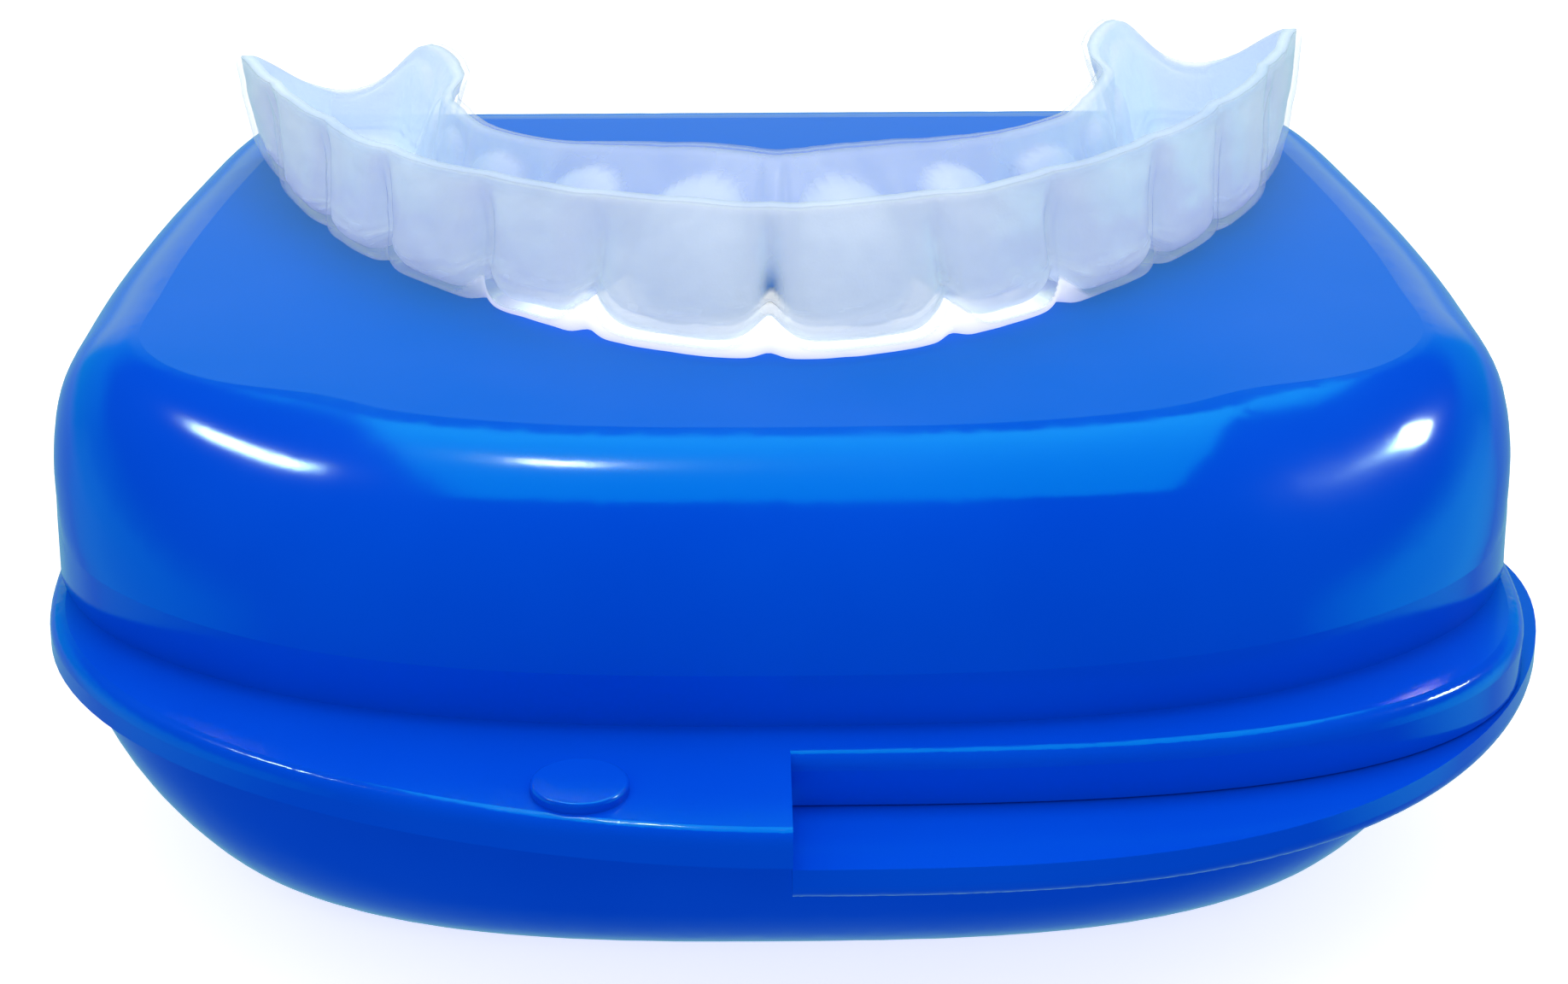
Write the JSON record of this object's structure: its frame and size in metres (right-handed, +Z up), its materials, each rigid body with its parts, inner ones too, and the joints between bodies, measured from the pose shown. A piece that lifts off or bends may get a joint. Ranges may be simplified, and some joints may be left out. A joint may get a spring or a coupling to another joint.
{
  "type": "mouthguard with case",
  "caption": "Clear dental-style mouthguard with frosted liner resting on a closed blue hinged clam-shell case with interlocking finger flanges.",
  "frame": {"origin": "centre of the case's flat underside", "axes": "+X across the case, -Y the front where the flanges open, +Z up"},
  "size_m": [0.0845, 0.0816, 0.0376],
  "materials": {
    "case_plastic": "moulded blue polypropylene, glossy walls with a finely textured flat face",
    "guard_clear": "clear hard thermoplastic, frosted by handling, polished along the biting rim",
    "guard_frosted": "soft milky lining, fine frosted grain"
  },
  "bodies": {
    "base": {"case_base": "case_plastic"},
    "lid": {"case_lid": "case_plastic"},
    "guard": {"guard_outer_shell": "guard_clear", "guard_inner_liner": "guard_frosted"}
  },
  "joints": [
    {"name": "lid_hinge", "type": "hinge", "parent": "base", "child": "lid", "pos_m": [0, 0.0307, 0.0145], "axis": [-1, 0, 0], "range_deg": [0, 115]},
    {"name": "guard_lift_off", "type": "slide", "parent": "lid", "child": "guard", "axis": [0, 0, 1], "range_m": [0, 0.03]}
  ]
}
